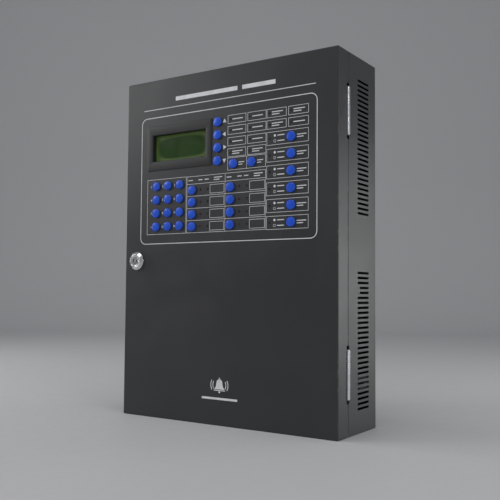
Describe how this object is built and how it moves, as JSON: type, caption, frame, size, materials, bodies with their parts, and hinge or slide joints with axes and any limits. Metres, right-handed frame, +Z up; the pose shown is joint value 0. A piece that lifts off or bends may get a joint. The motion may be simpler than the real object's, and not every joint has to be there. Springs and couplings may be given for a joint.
{
  "type": "fire alarm control panel",
  "caption": "Wall-mounted fire alarm control panel: vented steel cabinet with a hinged, locking door, display, sprung push keys, indicator lamps, circuit boards, power supply and batteries.",
  "frame": {"origin": "centre of the cabinet's back face, on the wall plane", "axes": "+X to the right of someone facing the panel, +Y into the wall, +Z up; the front faces -Y"},
  "size_m": [0.3628, 0.1195, 0.5],
  "materials": {
    "black_powder_coat": "satin powder coat with a fine orange-peel grain",
    "zinc_plate": "bright zinc plated",
    "circuit_board": "glass-fibre board with green solder mask",
    "brass_pillars": "nickel plated brass",
    "terminal_green": "moulded",
    "relay_blue": "moulded",
    "bare_aluminium": "mill finish",
    "terminal_cream": "moulded",
    "battery_case": "fine textured",
    "bezel_black": "fine textured, worn at the edges",
    "module_black": "satin",
    "display_glass": "unlit yellow-green display behind glass",
    "switch_black": "moulded",
    "lamp_smoke": "unlit tinted epoxy",
    "lock_chrome": "polished, lightly scratched",
    "key_blue": "glossy moulded"
  },
  "bodies": {
    "cabinet": {"cabinet_body": "black_powder_coat", "hinge_cabinet_leaves": "zinc_plate", "hinge_pins": "zinc_plate", "main_board": "circuit_board", "main_board_fixings": "brass_pillars", "field_terminals": "terminal_green", "board_relays": "relay_blue", "power_supply_case": "bare_aluminium", "power_supply_cover": "bare_aluminium", "power_supply_board": "circuit_board", "mains_terminal_block": "terminal_cream", "batteries": "battery_case", "battery_strap": "zinc_plate", "cabinet_nuts": "zinc_plate"},
    "door": {"door_panel": "black_powder_coat", "hinge_door_leaves": "zinc_plate", "lcd_bezel": "bezel_black", "lcd_module": "module_black", "lcd_glass": "display_glass", "display_board": "circuit_board", "display_board_fixings": "brass_pillars", "key_switches": "switch_black", "indicator_leds": "lamp_smoke", "sounder": "switch_black", "lock_barrel": "lock_chrome", "lock_nut": "lock_chrome"},
    "lock": {"lock_plug": "lock_chrome", "lock_cam": "zinc_plate"},
    "number_key_1": {"number_key_1": "key_blue"},
    "number_key_2": {"number_key_2": "key_blue"},
    "number_key_3": {"number_key_3": "key_blue"},
    "number_key_4": {"number_key_4": "key_blue"},
    "number_key_5": {"number_key_5": "key_blue"},
    "number_key_6": {"number_key_6": "key_blue"},
    "number_key_7": {"number_key_7": "key_blue"},
    "number_key_8": {"number_key_8": "key_blue"},
    "number_key_9": {"number_key_9": "key_blue"},
    "number_key_star": {"number_key_star": "key_blue"},
    "number_key_0": {"number_key_0": "key_blue"},
    "number_key_hash": {"number_key_hash": "key_blue"},
    "arrow_key_up": {"arrow_key_up": "key_blue"},
    "arrow_key_left": {"arrow_key_left": "key_blue"},
    "arrow_key_right": {"arrow_key_right": "key_blue"},
    "arrow_key_down": {"arrow_key_down": "key_blue"},
    "zone_key_1": {"zone_key_1": "key_blue"},
    "zone_key_2": {"zone_key_2": "key_blue"},
    "zone_key_3": {"zone_key_3": "key_blue"},
    "zone_key_4": {"zone_key_4": "key_blue"},
    "zone_key_5": {"zone_key_5": "key_blue"},
    "zone_key_6": {"zone_key_6": "key_blue"},
    "zone_key_7": {"zone_key_7": "key_blue"},
    "zone_key_8": {"zone_key_8": "key_blue"},
    "lamp_test_key": {"lamp_test_key": "key_blue"},
    "reset_key": {"reset_key": "key_blue"},
    "output_key_1": {"output_key_1": "key_blue"},
    "output_key_2": {"output_key_2": "key_blue"},
    "output_key_3": {"output_key_3": "key_blue"},
    "output_key_4": {"output_key_4": "key_blue"},
    "output_key_5": {"output_key_5": "key_blue"},
    "output_key_6": {"output_key_6": "key_blue"}
  },
  "joints": [
    {"name": "door_hinge", "type": "hinge", "parent": "cabinet", "child": "door", "pos_m": [0.18, -0.0864, 0], "axis": [0, 0, 1], "range_deg": [0, 165]},
    {"name": "lock_turn", "type": "hinge", "parent": "door", "child": "lock", "pos_m": [-0.1564, -0.114, -0.021], "axis": [0, 1, 0], "range_deg": [0, 90]},
    {"name": "number_key_1_press", "type": "slide", "parent": "door", "child": "number_key_1", "axis": [0, 1, 0], "range_m": [0, 0.001], "stiffness_N_per_m": 1000},
    {"name": "number_key_2_press", "type": "slide", "parent": "door", "child": "number_key_2", "axis": [0, 1, 0], "range_m": [0, 0.001], "stiffness_N_per_m": 1000},
    {"name": "number_key_3_press", "type": "slide", "parent": "door", "child": "number_key_3", "axis": [0, 1, 0], "range_m": [0, 0.001], "stiffness_N_per_m": 1000},
    {"name": "number_key_4_press", "type": "slide", "parent": "door", "child": "number_key_4", "axis": [0, 1, 0], "range_m": [0, 0.001], "stiffness_N_per_m": 1000},
    {"name": "number_key_5_press", "type": "slide", "parent": "door", "child": "number_key_5", "axis": [0, 1, 0], "range_m": [0, 0.001], "stiffness_N_per_m": 1000},
    {"name": "number_key_6_press", "type": "slide", "parent": "door", "child": "number_key_6", "axis": [0, 1, 0], "range_m": [0, 0.001], "stiffness_N_per_m": 1000},
    {"name": "number_key_7_press", "type": "slide", "parent": "door", "child": "number_key_7", "axis": [0, 1, 0], "range_m": [0, 0.001], "stiffness_N_per_m": 1000},
    {"name": "number_key_8_press", "type": "slide", "parent": "door", "child": "number_key_8", "axis": [0, 1, 0], "range_m": [0, 0.001], "stiffness_N_per_m": 1000},
    {"name": "number_key_9_press", "type": "slide", "parent": "door", "child": "number_key_9", "axis": [0, 1, 0], "range_m": [0, 0.001], "stiffness_N_per_m": 1000},
    {"name": "number_key_star_press", "type": "slide", "parent": "door", "child": "number_key_star", "axis": [0, 1, 0], "range_m": [0, 0.001], "stiffness_N_per_m": 1000},
    {"name": "number_key_0_press", "type": "slide", "parent": "door", "child": "number_key_0", "axis": [0, 1, 0], "range_m": [0, 0.001], "stiffness_N_per_m": 1000},
    {"name": "number_key_hash_press", "type": "slide", "parent": "door", "child": "number_key_hash", "axis": [0, 1, 0], "range_m": [0, 0.001], "stiffness_N_per_m": 1000},
    {"name": "arrow_key_up_press", "type": "slide", "parent": "door", "child": "arrow_key_up", "axis": [0, 1, 0], "range_m": [0, 0.001], "stiffness_N_per_m": 1000},
    {"name": "arrow_key_left_press", "type": "slide", "parent": "door", "child": "arrow_key_left", "axis": [0, 1, 0], "range_m": [0, 0.001], "stiffness_N_per_m": 1000},
    {"name": "arrow_key_right_press", "type": "slide", "parent": "door", "child": "arrow_key_right", "axis": [0, 1, 0], "range_m": [0, 0.001], "stiffness_N_per_m": 1000},
    {"name": "arrow_key_down_press", "type": "slide", "parent": "door", "child": "arrow_key_down", "axis": [0, 1, 0], "range_m": [0, 0.001], "stiffness_N_per_m": 1000},
    {"name": "zone_key_1_press", "type": "slide", "parent": "door", "child": "zone_key_1", "axis": [0, 1, 0], "range_m": [0, 0.001], "stiffness_N_per_m": 1000},
    {"name": "zone_key_2_press", "type": "slide", "parent": "door", "child": "zone_key_2", "axis": [0, 1, 0], "range_m": [0, 0.001], "stiffness_N_per_m": 1000},
    {"name": "zone_key_3_press", "type": "slide", "parent": "door", "child": "zone_key_3", "axis": [0, 1, 0], "range_m": [0, 0.001], "stiffness_N_per_m": 1000},
    {"name": "zone_key_4_press", "type": "slide", "parent": "door", "child": "zone_key_4", "axis": [0, 1, 0], "range_m": [0, 0.001], "stiffness_N_per_m": 1000},
    {"name": "zone_key_5_press", "type": "slide", "parent": "door", "child": "zone_key_5", "axis": [0, 1, 0], "range_m": [0, 0.001], "stiffness_N_per_m": 1000},
    {"name": "zone_key_6_press", "type": "slide", "parent": "door", "child": "zone_key_6", "axis": [0, 1, 0], "range_m": [0, 0.001], "stiffness_N_per_m": 1000},
    {"name": "zone_key_7_press", "type": "slide", "parent": "door", "child": "zone_key_7", "axis": [0, 1, 0], "range_m": [0, 0.001], "stiffness_N_per_m": 1000},
    {"name": "zone_key_8_press", "type": "slide", "parent": "door", "child": "zone_key_8", "axis": [0, 1, 0], "range_m": [0, 0.001], "stiffness_N_per_m": 1000},
    {"name": "lamp_test_key_press", "type": "slide", "parent": "door", "child": "lamp_test_key", "axis": [0, 1, 0], "range_m": [0, 0.001], "stiffness_N_per_m": 1000},
    {"name": "reset_key_press", "type": "slide", "parent": "door", "child": "reset_key", "axis": [0, 1, 0], "range_m": [0, 0.001], "stiffness_N_per_m": 1000},
    {"name": "output_key_1_press", "type": "slide", "parent": "door", "child": "output_key_1", "axis": [0, 1, 0], "range_m": [0, 0.001], "stiffness_N_per_m": 1000},
    {"name": "output_key_2_press", "type": "slide", "parent": "door", "child": "output_key_2", "axis": [0, 1, 0], "range_m": [0, 0.001], "stiffness_N_per_m": 1000},
    {"name": "output_key_3_press", "type": "slide", "parent": "door", "child": "output_key_3", "axis": [0, 1, 0], "range_m": [0, 0.001], "stiffness_N_per_m": 1000},
    {"name": "output_key_4_press", "type": "slide", "parent": "door", "child": "output_key_4", "axis": [0, 1, 0], "range_m": [0, 0.001], "stiffness_N_per_m": 1000},
    {"name": "output_key_5_press", "type": "slide", "parent": "door", "child": "output_key_5", "axis": [0, 1, 0], "range_m": [0, 0.001], "stiffness_N_per_m": 1000},
    {"name": "output_key_6_press", "type": "slide", "parent": "door", "child": "output_key_6", "axis": [0, 1, 0], "range_m": [0, 0.001], "stiffness_N_per_m": 1000}
  ]
}
